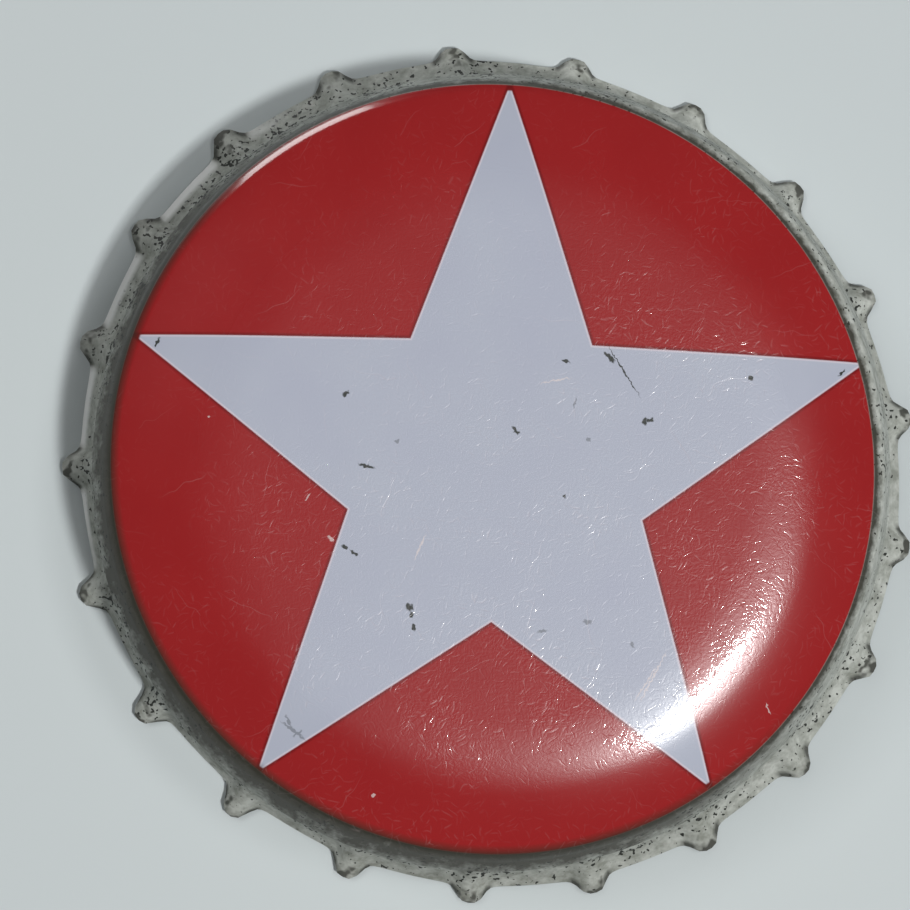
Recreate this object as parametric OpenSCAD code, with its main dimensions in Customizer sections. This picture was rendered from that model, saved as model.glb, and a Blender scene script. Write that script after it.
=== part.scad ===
// Pry-off bottle cap: a fluted sheet-steel pressing with a moulded sealing liner, once used.
//
// Frame: millimetres, +Z up. The origin is the centre of the circle that the rim stands on,
// the printed top faces +Z, the mouth opens towards -Z, and +Y runs to a tip of the printed star.

/* [Top panel] */
// Height from the rim to the top of the panel
cap_h = 6.0; // [5.4:0.1:7.2]
// Thickness of the steel sheet
sheet_t = 0.24; // [0.2:0.01:0.3]
// Radius of the soft arc that rounds the panel off round its flat middle
dome_r = 14.2; // [11:0.1:17.1]
// Slope at which that arc gives way to the knuckle, in degrees
dome_slope = 17; // [14:1:20]
// Outside radius of the knuckle, the tight bend round the edge of the panel
knuckle_r = 0.8; // [0.6:0.02:1]

/* [Wall and band] */
// Slope of the straight wall below the knuckle, in degrees
wall_slope = 78; // [74:1:82]
// Length of that wall along its slope
wall_len = 2.0; // [1.6:0.05:2.4]
// Outside radius of the bend from the wall into the band, over the bottle's lip
lip_bend_r = 2.0; // [1.6:0.1:2.6]
// Inside radius of the plain band that takes the bottle's lip
band_r = 13.3; // [11:0.1:16]
// Height of the plain band
band_h = 0.5; // [0.4:0.05:0.8]

/* [Fluted skirt] */
// Number of flutes, each ending in a tooth
flute_count = 21; // [17:1:23]
// How far a tooth's crest stands out from the band at the rim
tooth_reach = 1.31; // [1.1:0.01:1.5]
// Width of a tooth at the rim, half-way up its flanks
tooth_w = 0.8; // [0.7:0.02:1]
// How square a tooth is: 2 is a soft wave, and a larger number gives a level crest and steep flanks
tooth_power = 4; // [3:0.5:5]
// Width of a flute where it starts, as a share of its width at the rim
flute_start = 0.5; // [0.4:0.05:1]
// How far the valleys between the teeth flare out at the rim
rim_flare = 0.66; // [0.4:0.01:0.7]
// How late the flare comes: 2 is an even curve, and a larger number leaves it to the rim
flare_power = 2.5; // [2:0.1:3]
// How far the cut edge rises from the valleys to the teeth
tooth_lift = 0.14; // [0:0.02:0.3]
// How far the valleys are squeezed out of round, at their longest radius
squeeze = 0.24; // [0:0.02:0.3]
// How far the teeth's crests are, which is less, since a flute is stiff
crest_squeeze = 0.15; // [0:0.01:0.2]
// Direction of the longest radius, in degrees from +X
squeeze_dir = 130; // [0:1:180]
// How far the opener has pulled the valleys out on its side
pry_lean = 0.12; // [0:0.01:0.15]
// Direction of that side, in degrees from +X
pry_dir = 46; // [0:1:359]
// Direction of the first tooth, in degrees from +X
first_tooth = 10.8; // [0:0.1:17]
// How far the squeeze has carried the teeth round towards its longest radius, in degrees
tooth_drift = 1.2; // [0:0.1:2]
// How far a tooth may stand to one side of its place besides, in degrees
tooth_wander = 0.5; // [0:0.1:1]
// How far a tooth's crest may stand in or out of the others
reach_wander = 0.08; // [0:0.01:0.1]

/* [Liner] */
// How far the liner's outer edge stops short of the band's inside
liner_inset = 1.0; // [0.9:0.1:1.6]
// Thickness of the thin web across the middle
web_t = 0.35; // [0.25:0.05:0.5]
// Depth of the sealing ring's two beads below the panel
bead_t = 1.05; // [0.95:0.05:1.2]
// Width of each bead
bead_w = 0.7; // [0.5:0.05:0.8]
// Width of the land between the beads, pressed flat by the bottle's lip
land_w = 1.7; // [1.2:0.1:2.1]
// How far the land is pressed in from the beads
land_depth = 0.15; // [0.05:0.05:0.2]
// Radius of the round edges of the beads
bead_edge_r = 0.2; // [0.1:0.05:0.25]
// Gap that keeps the liner clear of the panel where the panel curves
liner_gap = 0.02; // [0.01:0.01:0.05]

/* [Hidden] */
$fn = 120;
eps = 0.01;

// Section of the panel, from the band inwards and from the top down
band_out_r = band_r + sheet_t;
lip_drop = lip_bend_r * cos(wall_slope);
wall_drop = wall_len * sin(wall_slope);
knuckle_drop = knuckle_r * (cos(dome_slope) - cos(wall_slope));
dome_drop = dome_r * (1 - cos(dome_slope));
band_top_z = cap_h - dome_drop - knuckle_drop - wall_drop - lip_drop;
lip_centre = [band_out_r - lip_bend_r, band_top_z];
wall_foot = lip_centre + lip_bend_r * slope_normal(wall_slope);
wall_top = wall_foot + wall_len * [-cos(wall_slope), sin(wall_slope)];
knuckle_centre = wall_top - knuckle_r * slope_normal(wall_slope);
dome_centre = knuckle_centre - (dome_r - knuckle_r) * slope_normal(dome_slope);
flat_r = dome_centre.x;
skirt_h = band_top_z - band_h;
panel_under_z = cap_h - sheet_t;
dome_steps = 10;
bend_steps = 10;

// Skirt: rings from the band down to the rim, and points across each flute
skirt_mid_r = band_r + sheet_t / 2;
flute_pitch = 360 / flute_count;
flute_power = 1.4;
seam_lap = 0.3;
seam_bites = [0.03, 0.01];
ring_steps = [-seam_lap / skirt_h, 0, 0.16, 0.34, 0.52, 0.7, 0.86, 1];
tooth_points = [-2.2, -1.5, -1.1, -0.8, -0.5, 0, 0.5, 0.8, 1.1, 1.5, 2.2];
valley_points = [0.25, 0.5, 0.75];
rim_slope = atan(flare_power * (rim_flare + squeeze + pry_lean) / skirt_h);
edge_lift = sheet_t / 2 * sin(rim_slope);

// Liner radii, from the outside in
liner_r = band_r - liner_inset;
land_out_r = liner_r - bead_w;
land_in_r = land_out_r - land_w;
web_r = land_in_r - bead_w;
bead_z = panel_under_z - bead_t;
land_z = bead_z + land_depth;
web_z = panel_under_z - web_t;

// ---------- pressed steel cap ----------

// Points along an arc from one angle to another, leaving out the first
function arc(centre, r, from, to, steps) = [
    for (i = [1 : steps])
        let (a = from + (to - from) * i / steps)
        centre + r * [cos(a), sin(a)]
];

// Outward normal, in the section, of a surface that slopes down outwards
function slope_normal(slope) = [sin(slope), cos(slope)];

// The curve from the panel's flat middle to the band, a depth below the outside of the sheet
function panel_curve(depth) = concat(
    [[flat_r, cap_h - depth]],
    arc(dome_centre, dome_r - depth, 90, 90 - dome_slope, dome_steps),
    arc(knuckle_centre, knuckle_r - depth, 90 - dome_slope, 90 - wall_slope, bend_steps),
    [wall_foot - depth * slope_normal(wall_slope)],
    arc(lip_centre, lip_bend_r - depth, 90 - wall_slope, 0, bend_steps / 2)
);

function backwards(points) = [for (i = [len(points) - 1 : -1 : 0]) points[i]];

// Section of the panel, its wall and the band, right of the axis
module panel_section() {
    polygon(concat(
        [[0, cap_h]],
        panel_curve(0),
        [[band_out_r, skirt_h], [band_r, skirt_h]],
        backwards(panel_curve(sheet_t)),
        [[0, panel_under_z]]
    ));
}

// Even scatter between -1 and 1, one value for each tooth
function scatter(i, turn) = sin((i % flute_count) * turn);

function tooth_middle(i) =
    let (even = first_tooth + i * flute_pitch)
    even - tooth_drift * sin(2 * (even - squeeze_dir)) + tooth_wander * scatter(i, 339);

// How far the valleys flare out at the rim at angle a, on the cap as it is bent now
function flare_at(a) = rim_flare + squeeze * cos(2 * (a - squeeze_dir)) + pry_lean * cos(a - pry_dir);

// How far the crest of flute i stands out beyond that flare
function crest_at(i, a) =
    tooth_reach + crest_squeeze * cos(2 * (a - squeeze_dir)) + reach_wander * scatter(i, 65) - flare_at(a);

// Half of a flute's width half-way up its flanks, in degrees, a share u of the way down the skirt
function flute_half(u) =
    asin(tooth_w / 2 / skirt_mid_r) * (flute_start + (1 - flute_start) * max(u, 0));

// How far flute i has risen at angle a: 1 on its crest, running out to 0 in the valleys
function rise(i, a, u) = 1 / (1 + abs((a - tooth_middle(i)) / flute_half(u)) ^ tooth_power);

// Middle of the sheet at angle a by flute i, a share u of the way down from the band to the rim
function skirt_point(i, a, u) =
    let (
        down = max(u, 0),
        up = rise(i, a, u),
        r = skirt_mid_r + flare_at(a) * down ^ flare_power + crest_at(i, a) * up * down ^ flute_power,
        z = skirt_h * (1 - u) + (edge_lift + tooth_lift * up) * down ^ 2
    )
    [r * cos(a), r * sin(a), z];

// Outward normal of the sheet there
function skirt_normal(i, a, u) =
    let (
        across = skirt_point(i, a + 0.05, u) - skirt_point(i, a - 0.05, u),
        along = skirt_point(i, a, u + 0.005) - skirt_point(i, a, u - 0.005),
        n = cross(along, across)
    )
    n / norm(n);

// Where one ring's points go, flute by flute: each entry is the flute's number and an angle
function ring_places(u) = [
    for (i = [0 : flute_count - 1])
        let (
            half = flute_half(u),
            start = tooth_middle(i) + max(tooth_points) * half,
            valley = tooth_middle(i + 1) + min(tooth_points) * half - start
        )
        each concat(
            [for (p = tooth_points) [i, tooth_middle(i) + p * half]],
            [for (p = valley_points) [i, start + p * valley]]
        )
];

// The fluted skirt: one closed skin lofted through rings on both faces of the sheet.
// Its top rings are a little thinner than the band, and lap up inside it.
module skirt() {
    rings = len(ring_steps);
    around = flute_count * (len(tooth_points) + len(valley_points));
    function half_t(j) = sheet_t / 2 - (j < len(seam_bites) ? seam_bites[j] : 0);
    function face_points(side) = [
        for (j = [0 : rings - 1])
            let (u = ring_steps[j])
            for (p = ring_places(u))
                skirt_point(p[0], p[1], u) + side * half_t(j) * skirt_normal(p[0], p[1], u)
    ];
    // Number of a point: on side 0, the outside, or side 1, ring j, place k
    function at(side, j, k) = (side * rings + j) * around + k % around;
    outer_wall = [
        for (j = [0 : rings - 2], k = [0 : around - 1])
            each [
                [at(0, j, k), at(0, j, k + 1), at(0, j + 1, k + 1)],
                [at(0, j, k), at(0, j + 1, k + 1), at(0, j + 1, k)]
            ]
    ];
    inner_wall = [
        for (j = [0 : rings - 2], k = [0 : around - 1])
            each [
                [at(1, j, k), at(1, j + 1, k + 1), at(1, j, k + 1)],
                [at(1, j, k), at(1, j + 1, k), at(1, j + 1, k + 1)]
            ]
    ];
    end_faces = [
        for (k = [0 : around - 1])
            each [
                [at(1, 0, k), at(1, 0, k + 1), at(0, 0, k + 1)],
                [at(1, 0, k), at(0, 0, k + 1), at(0, 0, k)],
                [at(0, rings - 1, k), at(0, rings - 1, k + 1), at(1, rings - 1, k + 1)],
                [at(0, rings - 1, k), at(1, rings - 1, k + 1), at(1, rings - 1, k)]
            ]
    ];
    polyhedron(
        concat(face_points(1), face_points(-1)),
        concat(outer_wall, inner_wall, end_faces),
        convexity = 8
    );
}

module pressed_steel_cap() {
    color("firebrick") rotate_extrude() panel_section();
    color("gainsboro") skirt();
}

// ---------- sealing liner ----------

// A bead of the sealing ring from radius x_in to x_out, with the edges on the mouth side round
module bead_section(x_in, x_out) {
    for (x = [x_in + bead_edge_r, x_out - bead_edge_r])
        translate([x, bead_z + bead_edge_r]) circle(bead_edge_r);
    translate([x_in, bead_z + bead_edge_r]) square([x_out - x_in, bead_t - bead_edge_r]);
    translate([x_in + bead_edge_r, bead_z]) square([x_out - x_in - 2 * bead_edge_r, bead_t]);
}

// The room under the panel: flat against its middle, a hair clear of its curve
module room_under_panel() {
    polygon(concat(
        [[0, 0], [0, panel_under_z], [flat_r, panel_under_z]],
        panel_curve(sheet_t + liner_gap),
        [[band_r - liner_gap, 0]]
    ));
}

module sealing_liner() {
    color("whitesmoke") rotate_extrude() intersection() {
        room_under_panel();
        union() {
            translate([0, web_z]) square([land_out_r, web_t]);
            translate([land_in_r - eps, land_z]) square([land_w + 2 * eps, panel_under_z - land_z]);
            bead_section(web_r, land_in_r);
            bead_section(land_out_r, liner_r);
        }
    }
}

pressed_steel_cap();
sealing_liner();
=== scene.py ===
"""A pry-off bottle cap: a printed, lacquered sheet-steel pressing with a moulded liner, once used.

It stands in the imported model's frame: metres, +Z up, the rim on z = 0, the mouth towards -Z,
and a tip of the printed star towards +Y. Sizes in this script are in millimetres.
"""
import math

import bmesh
import bpy
from mathutils import Matrix, Vector


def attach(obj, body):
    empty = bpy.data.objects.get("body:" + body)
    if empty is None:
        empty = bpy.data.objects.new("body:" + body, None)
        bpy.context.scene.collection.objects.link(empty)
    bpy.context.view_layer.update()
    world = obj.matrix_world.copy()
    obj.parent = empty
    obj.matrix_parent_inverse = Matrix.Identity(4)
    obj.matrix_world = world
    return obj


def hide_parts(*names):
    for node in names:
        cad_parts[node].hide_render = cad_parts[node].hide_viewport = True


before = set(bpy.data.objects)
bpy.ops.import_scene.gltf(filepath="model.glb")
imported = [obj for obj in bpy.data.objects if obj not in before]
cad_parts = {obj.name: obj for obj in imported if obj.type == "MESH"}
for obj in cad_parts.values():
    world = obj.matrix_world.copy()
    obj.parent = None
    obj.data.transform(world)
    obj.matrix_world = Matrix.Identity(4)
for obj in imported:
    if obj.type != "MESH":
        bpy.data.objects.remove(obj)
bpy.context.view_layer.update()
MM = 0.001

# ---------- sizes of the pressing ----------
CAP_H = 6.0
SHEET_T = 0.24
DOME_R, DOME_SLOPE = 14.2, math.radians(17)
KNUCKLE_R = 0.8
WALL_SLOPE, WALL_LEN = math.radians(78), 2.0
LIP_BEND_R = 2.0
BAND_R, BAND_H = 13.3, 0.5
FLUTES = 21
TOOTH_REACH, TOOTH_W, TOOTH_POWER, FLUTE_START = 1.31, 0.8, 4, 0.5
RIM_FLARE, FLARE_POWER, FLUTE_POWER = 0.66, 2.5, 1.4
TOOTH_LIFT = 0.14
SQUEEZE, SQUEEZE_DIR = 0.24, math.radians(130)
CREST_SQUEEZE = 0.15
PRY, PRY_DIR = 0.12, math.radians(46)
FIRST_TOOTH = math.radians(10.8)
TOOTH_DRIFT, TOOTH_WANDER = math.radians(1.2), math.radians(0.5)
REACH_WANDER = 0.08

# ---------- sizes of the liner ----------
LINER_R = BAND_R - 1.0
WEB_T, BEAD_T, LAND_DEPTH = 0.35, 1.05, 0.15
BEAD_W, LAND_W, BEAD_ROUND = 0.7, 1.7, 0.07
LINER_GAP = 0.02

# ---------- the print ----------
# The star's edges would meet at STAR_TIP_R, but the ink ends blunt at STAR_BLUNT_R
STAR_TIP_R, STAR_ROOT_R, STAR_BLUNT_R = 12.81, 5.13, 12.64
# The red disc is printed a hair off centre, and the panel's edge that carries it is a little oval
DISC_R, DISC_AT = 12.768, (-0.082, 0.005, 0.0)
DISC_OVAL, DISC_OVAL_DIR = (1.0081, 0.9919, 1.0), math.radians(119.8)

# Marks in the print: the middle's x and y, half of the length and of the width, and the way it lies
DEEP_MARKS = [
    (-4.3, -0.14, 0.27, 0.056, 168), (-5.09, 2.24, 0.11, 0.074, 25), (0.57, 1.24, 0.15, 0.066, 135),
    (3.53, 3.85, 0.12, 0.066, 148), (3.66, 3.73, 0.16, 0.074, 127), (4.1, 3.34, 0.9, 0.025, 124),
    (2.15, 3.6, 0.14, 0.053, 168), (4.84, 1.7, 0.1, 0.099, 12), (5.04, 1.74, 0.11, 0.074, 2),
    (-11.4, 3.71, 0.16, 0.05, 60), (-4.93, -2.85, 0.09, 0.056, 150),
    (-4.62, -3.02, 0.15, 0.056, 150),
    (-2.73, -4.75, 0.12, 0.107, 134), (-2.64, -4.99, 0.12, 0.066, 107),
    (-2.55, -5.41, 0.11, 0.053, 108), (8.33, 3.27, 0.08, 0.066, 171), (11.42, 3.6, 0.14, 0.045, 47),
    (2.25, -0.88, 0.05, 0.05, 145),
]
FAINT_MARKS = [
    (-3.34, 0.72, 0.07, 0.066, 129), (2.52, 2.23, 0.19, 0.03, 73), (3.01, 1.02, 0.07, 0.066, 162),
    (1.71, -5.37, 0.15, 0.05, 8), (3.18, -5.01, 0.15, 0.066, 173), (-6.39, -8.96, 0.47, 0.043, 145),
    (-6.26, -9.04, 0.18, 0.05, 36), (-6.57, -8.64, 0.2, 0.036, 117), (4.7, -5.71, 0.1, 0.05, 123),
]
PALE_MARKS = [
    (5.43, -6.74, 0.84, 0.03, 64), (5.17, -7.0, 0.59, 0.025, 59), (-5.39, -2.59, 0.12, 0.05, 143),
    (-9.58, 1.31, 0.05, 0.05, 133), (1.84, 2.94, 0.48, 0.026, 13), (-6.21, -1.22, 0.14, 0.033, 59),
    (-2.45, -2.75, 0.43, 0.03, 68), (-3.67, -10.99, 0.05, 0.05, 148),
    (9.32, -7.66, 0.2, 0.024, 112),
]

# ---------- how finely the pieces are made ----------
COLUMNS = 24 * FLUTES     # round the pressing: a whole number of columns for each flute
LINER_COLUMNS = 240
SKIRT_RINGS = 16          # down the skirt
MIDDLE_R = 0.5            # each section starts here, and a face closes the middle
BURR = 0.05               # rounding of the sheet's sheared edge
MERGE = 1e-4
NO_MARK = 9.0             # in half lengths: far from every mark


# ---------- small helpers ----------
def linear(hexa):
    """An sRGB hex colour as linear RGBA."""
    parts = [int(hexa[i:i + 2], 16) / 255 for i in (1, 3, 5)]
    return [c / 12.92 if c <= 0.04045 else ((c + 0.055) / 1.055) ** 2.4 for c in parts] + [1.0]


def add(tree, kind, *values, **settings):
    """Adds a shader node.

    Values fill its inputs in order, and a setting that starts with a capital names an input."""
    node = tree.nodes.new("ShaderNode" + kind)
    for name, value in settings.items():
        if name[0].islower():
            setattr(node, name, value)
    sockets = [s for s in node.inputs if s.enabled]
    fills = list(zip(sockets, values))
    for name, value in settings.items():
        if name[0].isupper():
            fills.append((next(s for s in sockets if s.name == name.replace("_", " ")), value))
    for socket, value in fills:
        if isinstance(value, bpy.types.Node):
            value = next(s for s in value.outputs if s.enabled)
        if isinstance(value, bpy.types.NodeSocket):
            tree.links.new(value, socket)
        elif value is not None:
            socket.default_value = value
    return node


def new_material(name):
    """An empty material and its node tree."""
    material = bpy.data.materials.new(name)
    material.use_nodes = True
    material.node_tree.nodes.clear()
    return material, material.node_tree


def finished(material, shader):
    """The material, with the shader as its surface."""
    add(material.node_tree, "OutputMaterial", shader)
    return material


def new_piece(name, bm, materials):
    """Makes an object of a bmesh built in millimetres, at the origin, with smooth faces."""
    bmesh.ops.scale(bm, vec=(MM, MM, MM), verts=bm.verts)
    mesh = bpy.data.meshes.new(name)
    for face in bm.faces:
        face.smooth = True
    bm.to_mesh(mesh)
    bm.free()
    for material in materials:
        mesh.materials.append(material)
    piece = bpy.data.objects.new(name, mesh)
    bpy.context.scene.collection.objects.link(piece)
    return piece


# ---------- section of the sheet ----------
def run_on(bm, vert, step, count=1):
    """Carries a section on from vert in a straight line of count steps; returns its last vertex."""
    for _ in range(count):
        vert = bmesh.ops.extrude_vert_indiv(bm, verts=[vert])["verts"][0]
        bmesh.ops.translate(bm, vec=step, verts=[vert])
    return vert


def bend_on(bm, vert, centre, angle, steps):
    """Carries a section on from vert round centre; returns its last vertex."""
    last = bmesh.ops.spin(bm, geom=[vert], cent=centre, axis=(0, 1, 0), angle=angle, steps=steps)
    return next(v for v in last["geom_last"] if isinstance(v, bmesh.types.BMVert))


def turn_round(bm, columns):
    """Turns a section once round the cap's axis."""
    bmesh.ops.spin(bm, geom=bm.verts[:] + bm.edges[:], cent=(0, 0, 0), axis=(0, 0, 1),
                   angle=2 * math.pi, steps=columns, use_merge=True)
    bmesh.ops.remove_doubles(bm, verts=bm.verts, dist=MERGE)


def slope_normal(slope):
    """Outward normal, in the section, of a surface that slopes down outwards."""
    return Vector((math.sin(slope), 0, math.cos(slope)))


# Where the bends of the section are centred
band_out_r = BAND_R + SHEET_T
dome_drop = DOME_R * (1 - math.cos(DOME_SLOPE))
knuckle_drop = KNUCKLE_R * (math.cos(DOME_SLOPE) - math.cos(WALL_SLOPE))
wall_drop = WALL_LEN * math.sin(WALL_SLOPE) + LIP_BEND_R * math.cos(WALL_SLOPE)
band_top_z = CAP_H - dome_drop - knuckle_drop - wall_drop
lip_centre = Vector((band_out_r - LIP_BEND_R, 0, band_top_z))
wall_run = Vector((math.cos(WALL_SLOPE), 0, -math.sin(WALL_SLOPE))) * WALL_LEN
wall_top = lip_centre + LIP_BEND_R * slope_normal(WALL_SLOPE) - wall_run
knuckle_centre = wall_top - KNUCKLE_R * slope_normal(WALL_SLOPE)
dome_centre = knuckle_centre - (DOME_R - KNUCKLE_R) * slope_normal(DOME_SLOPE)
flat_r = dome_centre.x
skirt_h = band_top_z - BAND_H
skirt_mid_r = BAND_R + SHEET_T / 2


def flare_at(angle):
    """How far the valleys flare out at the rim, on the cap as it is bent now."""
    squeezed = SQUEEZE * math.cos(2 * (angle - SQUEEZE_DIR))
    return RIM_FLARE + squeezed + PRY * math.cos(angle - PRY_DIR)


rim_slope = math.atan(FLARE_POWER * (RIM_FLARE + SQUEEZE + PRY) / skirt_h)
edge_lift = SHEET_T / 2 * math.sin(rim_slope)


def panel_line(bm):
    """Draws the line of the sheet's middle, from the middle of the panel down to the band."""
    vert = bm.verts.new((MIDDLE_R, 0, CAP_H - SHEET_T / 2))
    vert = run_on(bm, vert, ((flat_r - MIDDLE_R) / 5, 0, 0), 5)
    vert = bend_on(bm, vert, dome_centre, DOME_SLOPE, 14)
    vert = bend_on(bm, vert, knuckle_centre, WALL_SLOPE - DOME_SLOPE, 14)
    vert = run_on(bm, vert, wall_run / 3, 3)
    return bend_on(bm, vert, lip_centre, math.pi / 2 - WALL_SLOPE, 5)


def scatter(i, turn):
    """Even scatter between -1 and 1, one value for each tooth."""
    return math.sin(math.radians((i % FLUTES) * turn))


def tooth_middle(i):
    even = FIRST_TOOTH + i * 2 * math.pi / FLUTES
    return even - TOOTH_DRIFT * math.sin(2 * (even - SQUEEZE_DIR)) + TOOTH_WANDER * scatter(i, 339)


def tooth_near(angle):
    """The number of the tooth nearest to an angle, and how far off its middle is."""
    guess = round((angle - FIRST_TOOTH) / (2 * math.pi / FLUTES))
    off = {i: math.remainder(angle - tooth_middle(i), 2 * math.pi)
           for i in range(guess - 1, guess + 2)}
    nearest = min(off, key=lambda i: abs(off[i]))
    return nearest, off[nearest]


def press_skirt(bm, rise_layer, down_layer):
    """Presses the plain skirt into its flared and fluted shape, and marks crests and rim."""
    half_w = math.asin(TOOTH_W / 2 / skirt_mid_r)
    for vert in bm.verts:
        if vert.co.z > skirt_h:
            continue
        angle = math.atan2(vert.co.y, vert.co.x)
        down = 1 - vert.co.z / skirt_h
        i, off = tooth_near(angle)
        share = abs(off) / (half_w * (FLUTE_START + (1 - FLUTE_START) * down))
        up = 1 / (1 + share ** TOOTH_POWER)
        flare = flare_at(angle)
        oval = math.cos(2 * (angle - SQUEEZE_DIR))
        reach = TOOTH_REACH + CREST_SQUEEZE * oval + REACH_WANDER * scatter(i, 65) - flare
        r = skirt_mid_r + flare * down ** FLARE_POWER + reach * up * down ** FLUTE_POWER
        lift = (edge_lift + TOOTH_LIFT * up) * down ** 2
        vert.co = (r * math.cos(angle), r * math.sin(angle), skirt_h * (1 - down) + lift)
        vert[rise_layer] = up * down
        vert[down_layer] = down


def make_pressing(materials):
    """The sheet-steel pressing, made round the middle of the sheet and thickened both ways."""
    bm = bmesh.new()
    rise_layer = bm.verts.layers.float.new("crest")
    down_layer = bm.verts.layers.float.new("down")
    vert = run_on(bm, panel_line(bm), (0, 0, -BAND_H / 2), 2)
    run_on(bm, vert, (0, 0, -skirt_h / SKIRT_RINGS), SKIRT_RINGS)
    turn_round(bm, COLUMNS)
    hole = [e for e in bm.edges if e.is_boundary and e.verts[0].co.z > skirt_h]
    bmesh.ops.edgeloop_fill(bm, edges=hole)
    bmesh.ops.recalc_face_normals(bm, faces=bm.faces)
    if bm.faces[0].normal.z < 0 and bm.faces[0].calc_center_median().z > skirt_h:
        bmesh.ops.reverse_faces(bm, faces=bm.faces)
    press_skirt(bm, rise_layer, down_layer)
    piece = new_piece("pressed_and_printed_cap", bm, materials)
    sheet = piece.modifiers.new("sheet", "SOLIDIFY")
    sheet.thickness = SHEET_T * MM
    sheet.offset = 0
    sheet.use_even_offset = True
    sheet.material_offset = 1
    sheet.material_offset_rim = 2
    burr = piece.modifiers.new("burr", "BEVEL")
    burr.width = BURR * MM
    burr.segments = 2
    burr.limit_method = "ANGLE"
    burr.angle_limit = math.radians(50)
    burr.harden_normals = True
    return piece


def make_liner(material):
    """The moulded liner: a thin web, and two beads with the land that the bottle's lip pressed."""
    bm = bmesh.new()
    under = CAP_H - SHEET_T
    land_out, land_in = LINER_R - BEAD_W, LINER_R - BEAD_W - LAND_W
    web_r = land_in - BEAD_W
    edge = bm.verts.new((MIDDLE_R, 0, under - WEB_T))
    for r, z in ((web_r, under - WEB_T), (web_r, under - BEAD_T), (land_in, under - BEAD_T),
                 (land_in, under - BEAD_T + LAND_DEPTH), (land_out, under - BEAD_T + LAND_DEPTH),
                 (land_out, under - BEAD_T), (LINER_R, under - BEAD_T)):
        edge = run_on(bm, edge, Vector((r, 0, z)) - edge.co)
    # Up the outside, then back in under the panel, a hair clear of its curve
    depth = SHEET_T + LINER_GAP
    slope = min(math.asin((LINER_R - dome_centre.x) / (DOME_R - depth)), DOME_SLOPE)
    top = dome_centre + (DOME_R - depth) * slope_normal(slope)
    edge = run_on(bm, edge, top - edge.co)
    edge = bend_on(bm, edge, dome_centre, -slope, 8)
    run_on(bm, edge, Vector((MIDDLE_R - edge.co.x, 0, 0)))
    turn_round(bm, LINER_COLUMNS)
    bmesh.ops.holes_fill(bm, edges=[e for e in bm.edges if e.is_boundary])
    bmesh.ops.recalc_face_normals(bm, faces=bm.faces)
    corners = [e for e in bm.edges if len(e.link_faces) == 2 and e.calc_face_angle() > 1.0
               and e.verts[0].co.z < under - WEB_T + 0.01]
    bmesh.ops.bevel(bm, geom=corners, offset=BEAD_ROUND, offset_type="OFFSET", segments=3,
                    profile=0.5, affect="EDGES", material=-1, clamp_overlap=True)
    return new_piece("moulded_liner", bm, [material])


# ---------- patterns that the materials share ----------
def metric_place(tree):
    """Object coordinates in millimetres."""
    place = add(tree, "TexCoord").outputs["Object"]
    return add(tree, "VectorMath", place, operation="SCALE", Scale=1 / MM)


def strokes(tree, place, shift, per_mm, length, width, share):
    """One short scratch in a share of the cells of a grid, each at its own angle and depth.

    The cells are 1 / per_mm wide; length and width are half of a scratch's, in millimetres.
    The value is up to 1 in a scratch and 0 elsewhere."""
    moved = add(tree, "VectorMath", place, shift, operation="ADD")
    cells = add(tree, "TexVoronoi", moved, voronoi_dimensions="2D", Scale=per_mm)
    chance = add(tree, "SeparateColor", cells.outputs["Color"])
    offset = add(tree, "VectorMath", moved, cells.outputs["Position"], operation="SUBTRACT")
    angle = add(tree, "Math", chance.outputs["Red"], 2 * math.pi, operation="MULTIPLY")
    turned = add(tree, "VectorRotate", offset, Angle=angle, rotation_type="Z_AXIS")
    apart = add(tree, "VectorMath", turned, operation="ABSOLUTE")
    near = add(tree, "MapRange", apart, (length * 0.4, 0.0, -1.0), (length, width, 1.0),
               (1.0, 1.0, 1.0), (0.0, 0.0, 0.0), data_type="FLOAT_VECTOR")
    near = add(tree, "SeparateXYZ", near)
    line = add(tree, "Math", near.outputs["X"], near.outputs["Y"], operation="MULTIPLY")
    depth = add(tree, "MapRange", chance.outputs["Green"], 0.0, share, 1.0, 0.0)
    return add(tree, "Math", line, depth, operation="MULTIPLY")


def nicks(tree, place, marks):
    """Marks at places of their own: 1 inside them. Each is the middle's x and y, half of the length
    and of the width, all in millimetres, and the way it lies, in degrees."""
    nearest = NO_MARK
    for x, y, length, width, way in marks:
        local = add(tree, "Mapping", place, vector_type="TEXTURE", Location=(x, y, 0.0),
                    Rotation=(0.0, 0.0, math.radians(way)), Scale=(length, width, 1.0))
        local = add(tree, "VectorMath", local, operation="LENGTH").outputs["Value"]
        nearest = add(tree, "Math", local, nearest, operation="MINIMUM")
    return add(tree, "MapRange", nearest, 0.8, 1.25, 1.0, 0.0)


def sector(tree, flat, middle, half, soft):
    """1 within half of the middle direction, all in degrees, and 0 from soft degrees further on."""
    way = (math.cos(math.radians(middle)), math.sin(math.radians(middle)), 0.0)
    toward = add(tree, "VectorMath", add(tree, "VectorMath", flat, operation="NORMALIZE"), way,
                 operation="DOT_PRODUCT").outputs["Value"]
    far, near = math.cos(math.radians(half + soft)), math.cos(math.radians(half))
    return add(tree, "MapRange", toward, far, near, 0.0, 1.0)


def total(tree, parts):
    """The sum of several masks."""
    whole = parts[0]
    for part in parts[1:]:
        whole = add(tree, "Math", whole, part, operation="ADD")
    return whole


def painted(tree, under, *layers):
    """A colour with others laid over it in turn: each layer is a mask and a hex colour."""
    for mask, hexa in layers:
        under = add(tree, "Mix", mask, under, linear(hexa), data_type="RGBA")
    return under


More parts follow.
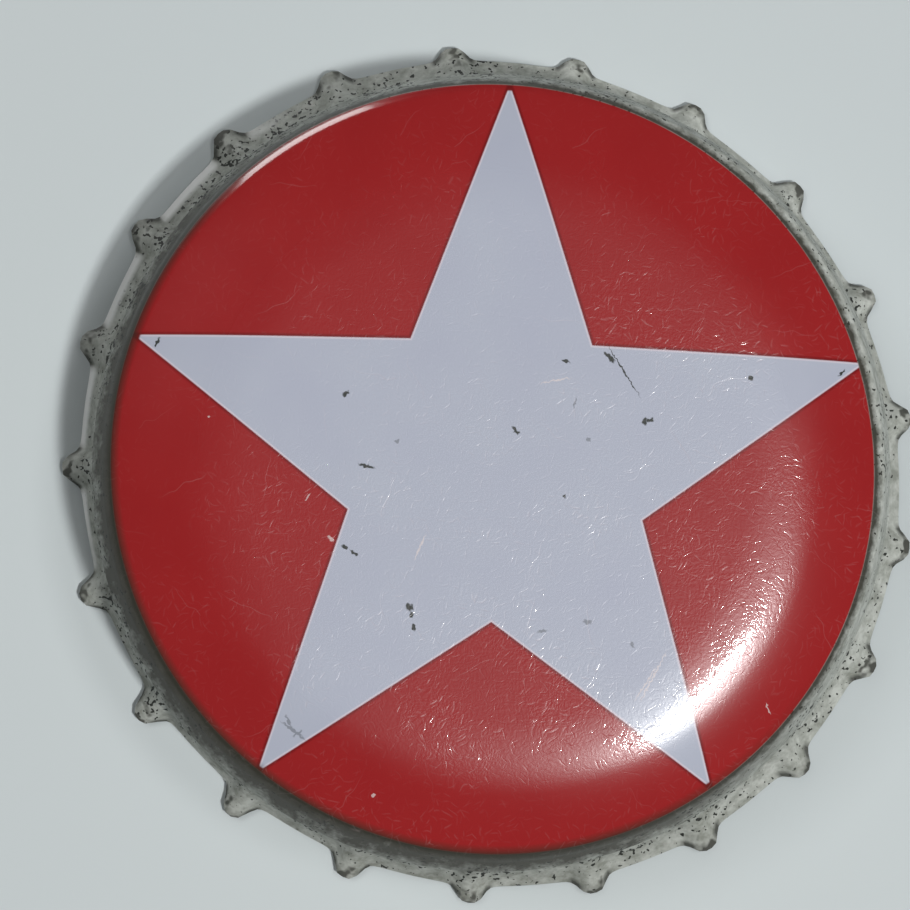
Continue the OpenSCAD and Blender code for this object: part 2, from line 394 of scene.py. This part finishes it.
# ---------- materials ----------
def star_edge(tree, xyz, r):
    """How far outside the star a point lies, in millimetres, with less than 0 inside it.

    The plane is folded about the star's tips, which leaves one edge to measure from."""
    turn = add(tree, "Math", xyz["X"], xyz["Y"], operation="ARCTAN2")
    fold = add(tree, "Math", turn, math.pi / 5, operation="PINGPONG")
    across = add(tree, "Math", r, add(tree, "Math", fold, operation="SINE"), operation="MULTIPLY")
    along = add(tree, "Math", r, add(tree, "Math", fold, operation="COSINE"), operation="MULTIPLY")
    root = STAR_ROOT_R * Vector((math.sin(math.pi / 5), math.cos(math.pi / 5)))
    run = (root - Vector((0.0, STAR_TIP_R))).normalized()
    offset = add(tree, "Math", along, run.x, -run.x * STAR_TIP_R, operation="MULTIPLY_ADD")
    return add(tree, "Math", across, -run.y, offset, operation="MULTIPLY_ADD")


def offset_inks(tree, xyz, r, cloud):
    """The two flat inks of the panel: the red, a little darker where it meets the silver-grey star,
    and a pale hairline where the star's ink falls short of it."""
    from_edge = star_edge(tree, xyz, r)
    pale_line = add(tree, "MapRange", from_edge, -0.08, -0.03, 0.0, 0.8)
    dark_line = add(tree, "MapRange", from_edge, 0.05, 0.12, 1.0, 0.0)
    red = painted(tree, linear("#952123"), (cloud, "#9D2728"), (dark_line, "#7A1C1E"))
    silver = painted(tree, linear("#AEB2C2"), (cloud, "#B4B9C6"), (pale_line, "#D8CDD6"))
    pointed = add(tree, "MapRange", from_edge, -0.02, 0.02, 1.0, 0.0)
    blunt = add(tree, "MapRange", r, STAR_BLUNT_R - 0.06, STAR_BLUNT_R, 1.0, 0.0)
    star = add(tree, "Math", pointed, blunt, operation="MULTIPLY")
    return add(tree, "Mix", star, red, silver, data_type="RGBA")


def worn_and_shaded_coat(tree, place, flat, z, stain, dirt_and_shade_side):
    """The white coat of the wall and the skirt: stained, chipped and rubbed at the crests, with
    dirt and painted shade under the bend on the side away from the key lamp, painted shade along
    the teeth's flanks and a painted highlight along the rim's valleys on one side."""
    crest = add(tree, "Attribute", attribute_name="crest").outputs["Fac"]
    down = add(tree, "Attribute", attribute_name="down").outputs["Fac"]
    stained = add(tree, "MapRange", stain, 0.36, 0.66, 0.0, 1.0)

    # Dark blotches down the wall, thickest at its top, on the side away from the key lamp:
    # dirt, and painted shade of that side of the wall
    blotch = add(tree, "VectorMath", place, (1.0, 1.0, 0.2), operation="MULTIPLY")
    blotch = add(tree, "TexNoise", blotch, Scale=1.3, Detail=3.0, Roughness=0.7)
    patchy = add(tree, "Math", blotch, 8.0, z, operation="MULTIPLY_ADD")
    dirt_and_shade = add(tree, "MapRange", patchy, 5.6, 8.0, 0.15, 0.97)
    dirt_and_shade = add(tree, "Math", dirt_and_shade_side, dirt_and_shade, operation="MULTIPLY")

    # Chips down to the dark steel, drawn out up and down the wall, most of them on its lower part
    drawn_out = add(tree, "VectorMath", place, (1.0, 1.0, 0.5), operation="MULTIPLY")
    speck = add(tree, "TexNoise", drawn_out, Scale=6.0, Detail=1.0, Roughness=0.6)
    patch = add(tree, "TexNoise", flat, noise_dimensions="2D", Scale=0.6, Detail=1.0)
    patch = add(tree, "MapRange", patch, 0.35, 0.65, -0.05, 0.04)
    on_wall = add(tree, "MapRange", z, 0.4, 1.4, -0.06, 0.03)
    high_up = add(tree, "MapRange", z, 1.9, 3.5, 0.0, -0.075)
    far_side = sector(tree, flat, 122.0, 35.0, 20.0)
    far_side = add(tree, "Math", far_side, 0.035, operation="MULTIPLY")
    chips = total(tree, [speck, patch, on_wall, high_up, far_side])
    chips = add(tree, "MapRange", chips, 0.61, 0.64, 0.0, 1.0)

    # Crests rubbed to the steel
    rubbed = add(tree, "TexNoise", place, Scale=2.4, Detail=1.0)
    rubbed = add(tree, "Math", crest, rubbed, operation="MULTIPLY")
    rubbed = add(tree, "MapRange", rubbed, 0.4, 0.5, 0.0, 1.0)

    # The rim: painted shade along the folds of each tooth's flanks, and a painted highlight of near
    # white along the valleys on one side
    at_rim = add(tree, "MapRange", down, 0.86, 0.94, 0.0, 1.0)
    off_valley = add(tree, "MapRange", crest, 0.06, 0.2, 0.0, 0.85)
    off_crest = add(tree, "MapRange", crest, 0.55, 0.85, 1.0, 0.3)
    # Painted shade in the folds along each tooth's flanks at the rim
    flank_shade = add(tree, "Math", off_valley, off_crest, operation="MULTIPLY")
    flank_shade = add(tree, "Math", flank_shade, at_rim, operation="MULTIPLY")
    # Painted highlight: near white along the rim's valleys, on one side only
    near_rim = add(tree, "MapRange", down, 0.78, 0.9, 0.0, 1.0)
    valley = add(tree, "MapRange", crest, 0.03, 0.15, 1.0, 0.0)
    painted_rim_highlight = add(tree, "Math", near_rim, valley, operation="MULTIPLY")
    painted_rim_highlight = add(tree, "Math", painted_rim_highlight, sector(tree, flat, 160.0, 28.0, 12.0), operation="MULTIPLY")

    return painted(tree, linear("#C8CBC4"), (stained, "#94978E"), (dirt_and_shade, "#48463D"),
                   (chips, "#2C2D29"), (rubbed, "#565751"), (flank_shade, "#33342F"), (painted_rim_highlight, "#F3F4F2"))


def edge_grime_and_shade(tree, disc_r, outside, stain, dirt_and_shade_side):
    """Grime in a band by the edge of the red, all round; on the side away from the key lamp it
    creeps over the red as well, there as dirt and painted shade together.
    """
    grime_and_shade = add(tree, "Math", stain, -0.3, disc_r, operation="MULTIPLY_ADD")
    grime_and_shade = add(tree, "MapRange", grime_and_shade, DISC_R - 0.04, DISC_R + 0.17, 0.95, 0.0)
    creep = add(tree, "MapRange", disc_r, DISC_R - 0.3, DISC_R, 0.0, 0.8)
    creep = add(tree, "Math", dirt_and_shade_side, creep, operation="MULTIPLY")
    creep = add(tree, "Math", outside, creep, operation="MAXIMUM")
    return add(tree, "Math", creep, grime_and_shade, operation="MULTIPLY")


def printed_tinplate():
    """Tinplate, offset printed in red and silver-grey and roller-coated with clear lacquer.

    The eye gets flat, even inks with crisp edges under a hard gloss, dulled by hairline scratches;
    on the skirt the white coat is chipped, stained and rubbed to the steel, with painted shade on
    the side of the wall away from the key lamp and a painted highlight along part of the rim."""
    material, tree = new_material("Printed_lacquered_tinplate")
    place = metric_place(tree)
    flat = add(tree, "VectorMath", place, (1.0, 1.0, 0.0), operation="MULTIPLY")
    xyz = add(tree, "SeparateXYZ", place).outputs
    r = add(tree, "VectorMath", flat, operation="LENGTH").outputs["Value"]
    cloud = add(tree, "TexNoise", flat, noise_dimensions="2D", Scale=0.35, Detail=2.0)
    stain = add(tree, "TexNoise", place, Scale=1.5, Detail=3.0, Roughness=0.75)
    # The side of the cap away from the key lamp, darkened with dirt and with painted shade
    dirt_and_shade_side = sector(tree, flat, 218.0, 75.0, 38.0)

    # The inks inside the printed disc, and the coat outside it
    oval = add(tree, "Mapping", flat, vector_type="TEXTURE", Location=DISC_AT,
               Rotation=(0.0, 0.0, DISC_OVAL_DIR), Scale=DISC_OVAL)
    disc_r = add(tree, "VectorMath", oval, operation="LENGTH").outputs["Value"]
    outside = add(tree, "MapRange", disc_r, DISC_R - 0.02, DISC_R + 0.03, 0.0, 1.0)
    inks = offset_inks(tree, xyz, r, cloud)
    coat = worn_and_shaded_coat(tree, place, flat, xyz["Z"], stain, dirt_and_shade_side)
    whole = add(tree, "Mix", outside, inks, coat, data_type="RGBA")

    # Marks through the ink, to the dark steel and to the pale coat under it
    shake = add(tree, "TexNoise", flat, noise_dimensions="2D", Scale=9.0, Detail=0.0)
    shake = add(tree, "VectorMath", shake.outputs["Color"], (0.5, 0.5, 0.5), operation="SUBTRACT")
    shaken = add(tree, "VectorMath", shake, (0.1, 0.1, 0.0), flat, operation="MULTIPLY_ADD")
    deep = nicks(tree, shaken, DEEP_MARKS)
    faint = add(tree, "Math", nicks(tree, shaken, FAINT_MARKS), 0.5, operation="MULTIPLY")
    bare = add(tree, "Math", nicks(tree, shaken, PALE_MARKS), 0.6, operation="MULTIPLY")

    # Scratches in the lacquer, none of them quite straight: long ones, short ones and a fine haze
    wavy = add(tree, "TexNoise", flat, noise_dimensions="2D", Scale=1.3, Detail=1.0)
    wavy = add(tree, "VectorMath", wavy.outputs["Color"], (0.4, 0.4, 0.0), flat,
               operation="MULTIPLY_ADD")
    long_ones = strokes(tree, wavy, (13.0, 7.0, 0), 0.5, 1.0, 0.02, 0.5)
    short_ones = total(tree, [strokes(tree, wavy, (31.0 + 3 * k, 17.0, 0), 3.2, 0.17, 0.03, 0.9)
                              for k in range(2)])
    haze = add(tree, "TexNoise", wavy, noise_dimensions="2D", Scale=10.0, Detail=1.0, Roughness=0.6)

    # Where they are: in clouds, more of them on one side, and most on the flat of the panel, which
    # is what rubs on things, while the round of its edge stays glossier
    worn_side = add(tree, "VectorMath", flat, (0.7, -0.7, 0.0), operation="DOT_PRODUCT")
    worn_side = add(tree, "MapRange", worn_side.outputs["Value"], -6.0, 3.0, 0.35, 1.0)
    rubs = add(tree, "MapRange", cloud, 0.42, 0.62, 0.25, 1.0)
    rubs = add(tree, "Math", rubs, worn_side, operation="MULTIPLY")
    rubbed_flat = add(tree, "MapRange", r, 9.6, 10.9, 1.0, 0.15)
    seen = add(tree, "Math", short_ones, rubs, long_ones, operation="MULTIPLY_ADD")
    how_pale = add(tree, "MapRange", rubbed_flat, 0.0, 1.0, 0.06, 0.17)
    seen = add(tree, "Math", seen, how_pale, operation="MULTIPLY", use_clamp=True)

    # Grime by the red's edge, and on the side away from the key lamp dirt with painted shade over
    # the red
    grime_and_shade = edge_grime_and_shade(tree, disc_r, outside, stain, dirt_and_shade_side)
    whole = painted(tree, whole, (grime_and_shade, "#35332A"), (deep, "#3F4240"), (faint, "#4C504F"),
                    (bare, "#E0D3D0"), (seen, "#D9C4C4"))

    # Relief: a scratch is 4 micrometres deep at most
    height = add(tree, "Math", short_ones, long_ones, operation="ADD")
    height = add(tree, "Math", haze, 1.1, height, operation="MULTIPLY_ADD")
    height = add(tree, "Math", height, -2.0, operation="MULTIPLY")
    relief = add(tree, "MapRange", rubs, 0.0, 1.0, 0.35, 1.0)
    relief = add(tree, "Math", rubbed_flat, relief, operation="MULTIPLY")
    bump = add(tree, "Bump", Strength=relief, Distance=2e-6, Height=height)
    rough = add(tree, "MapRange", rubbed_flat, 0.0, 1.0, 0.13, 0.31)
    rough = add(tree, "Mix", outside, rough, 0.7)
    gloss = add(tree, "MapRange", disc_r, DISC_R + 0.15, DISC_R + 0.3, 0.32, 0.0)
    shader = add(tree, "BsdfPrincipled", Base_Color=whole, Roughness=rough, IOR=1.5,
                 Specular_IOR_Level=0.35, Normal=bump, Coat_Weight=gloss, Coat_Roughness=0.06,
                 Coat_Normal=bump)
    return finished(material, shader)


def inside_tinplate():
    """Tinplate with a clear gold-tinted lacquer, as inside a cap: a soft metal sheen, stained."""
    material, tree = new_material("Clear_lacquered_tinplate")
    place = metric_place(tree)
    stain = add(tree, "TexNoise", place, Scale=0.9, Detail=5.0, Roughness=0.6)
    stained = add(tree, "MapRange", stain, 0.4, 0.7, 0.0, 1.0)
    colour = painted(tree, linear("#B7B2A4"), (stained, "#8B8474"))
    rough = add(tree, "MapRange", stain, 0.3, 0.7, 0.3, 0.5)
    bump = add(tree, "TexNoise", place, Scale=6.0, Detail=3.0)
    bump = add(tree, "Bump", Strength=0.6, Distance=8e-6, Height=bump)
    shader = add(tree, "BsdfPrincipled", Base_Color=colour, Metallic=0.85, Roughness=rough,
                 Normal=bump)
    return finished(material, shader)


def sheared_edge():
    """The sheet's sheared edge: bare steel, dull, with a bloom of rust."""
    material, tree = new_material("Sheared_steel_edge")
    place = metric_place(tree)
    rust = add(tree, "TexNoise", place, Scale=1.6, Detail=5.0, Roughness=0.65)
    rust = add(tree, "MapRange", rust, 0.5, 0.68, 0.0, 1.0)
    colour = painted(tree, linear("#A5A59F"), (rust, "#5E4A3C"))
    rough = add(tree, "MapRange", rust, 0.0, 1.0, 0.35, 0.75)
    metal = add(tree, "MapRange", rust, 0.0, 1.0, 0.8, 0.1)
    shader = add(tree, "BsdfPrincipled", Base_Color=colour, Metallic=metal, Roughness=rough)
    return finished(material, shader)


def moulded_polymer():
    """Polyethylene, moulded in place: off-white, waxy, with the lip's print and faint stains."""
    material, tree = new_material("Moulded_polyethylene")
    place = metric_place(tree)
    stain = add(tree, "TexNoise", place, Scale=0.5, Detail=5.0, Roughness=0.6)
    stained = add(tree, "MapRange", stain, 0.45, 0.75, 0.0, 1.0)
    colour = painted(tree, linear("#D6D8D2"), (stained, "#BDB9A6"))
    bump = add(tree, "TexNoise", place, Scale=4.0, Detail=4.0)
    bump = add(tree, "Bump", Strength=0.5, Distance=1e-5, Height=bump)
    shader = add(tree, "BsdfPrincipled", Base_Color=colour, Roughness=0.42, IOR=1.51,
                 Subsurface_Weight=0.15, Subsurface_Scale=0.0006, Normal=bump)
    return finished(material, shader)


def pale_board():
    """A pale laminate board: even, faintly green-grey, with a dull sheen."""
    material, tree = new_material("Pale_laminate_board")
    place = metric_place(tree)
    cloud = add(tree, "TexNoise", place, Scale=0.03, Detail=0.0)
    colour = painted(tree, linear("#C4CCCE"), (cloud, "#C8CFCF"))
    shader = add(tree, "BsdfPrincipled", Base_Color=colour, Roughness=0.6, IOR=1.45)
    return finished(material, shader)


# ---------- the pieces ----------
pressing = make_pressing([printed_tinplate(), inside_tinplate(), sheared_edge()])
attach(pressing, "root")
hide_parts("pressed_steel_cap")

liner = make_liner(moulded_polymer())
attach(liner, "root")
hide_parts("sealing_liner")

# ---------- floor, light and camera ----------
bm = bmesh.new()
bmesh.ops.create_grid(bm, x_segments=8, y_segments=8, size=600)
floor = new_piece("floor", bm, [pale_board()])


def softbox(name, azimuth, elevation, distance, size, level, glossy=True, diffuse=True):
    """A rectangular lamp aimed at the cap, with its azimuth and elevation in degrees.

    Level is the share of full light it gives a surface that faces it: the light at which a white
    surface renders white."""
    lamp = bpy.data.lights.new(name, "AREA")
    lamp.shape = "RECTANGLE"
    lamp.size, lamp.size_y = size[0] * MM, size[1] * MM
    lamp.energy = level * math.pi * math.pi * (distance * MM) ** 2
    holder = bpy.data.objects.new(name, lamp)
    azimuth, elevation = math.radians(azimuth), math.radians(elevation)
    way = Vector((math.cos(azimuth) * math.cos(elevation), math.sin(azimuth) * math.cos(elevation),
                  math.sin(elevation)))
    turned = way.to_track_quat("Z", "Y").to_matrix().to_4x4()
    holder.matrix_world = Matrix.Translation(way * distance * MM) @ turned
    holder.visible_glossy = glossy
    holder.visible_diffuse = diffuse
    bpy.context.scene.collection.objects.link(holder)


# Three lamps light the cap, and two more only show in its lacquer
softbox("key", -37, 66.5, 600, (60, 44), 0.65, glossy=False)
softbox("side", 20, 66, 600, (110, 110), 0.14, glossy=False)
softbox("fill", 150, 60, 700, (240, 240), 0.2, glossy=False)
softbox("gleam", -35, 71, 600, (95, 22), 0.55, diffuse=False)
softbox("window", 119, 13, 400, (150, 200), 0.65, diffuse=False)

world = bpy.data.worlds.new("studio")
bpy.context.scene.world = world
world.use_nodes = True
sky = world.node_tree
sky.nodes.clear()
rays = add(sky, "LightPath").outputs
shown = add(sky, "Math", rays["Is Camera Ray"], rays["Is Transmission Ray"], operation="MAXIMUM")
strength = add(sky, "MapRange", shown, 0.0, 1.0, 0.05, 1.0)
add(sky, "OutputWorld", add(sky, "Background", linear("#DDE3E5"), strength))

eye = Vector((-6.345, -6.405, 149.65))
aim = Vector((-1.402, 0.341, 6.0))
roll = math.radians(2.114)
back = (eye - aim).normalized()
side = Vector((-math.sin(roll), math.cos(roll), 0)).cross(back).normalized()
camera = bpy.data.objects.new("camera", bpy.data.cameras.new("camera"))
camera.data.lens = 171.98
camera.data.sensor_width = 36
camera.data.clip_start = 0.01
facing = Matrix((side, back.cross(side), back)).transposed().to_4x4()
camera.matrix_world = Matrix.Translation(eye * MM) @ facing
bpy.context.scene.collection.objects.link(camera)
bpy.context.scene.camera = camera
bpy.context.scene.view_settings.view_transform = "Standard"
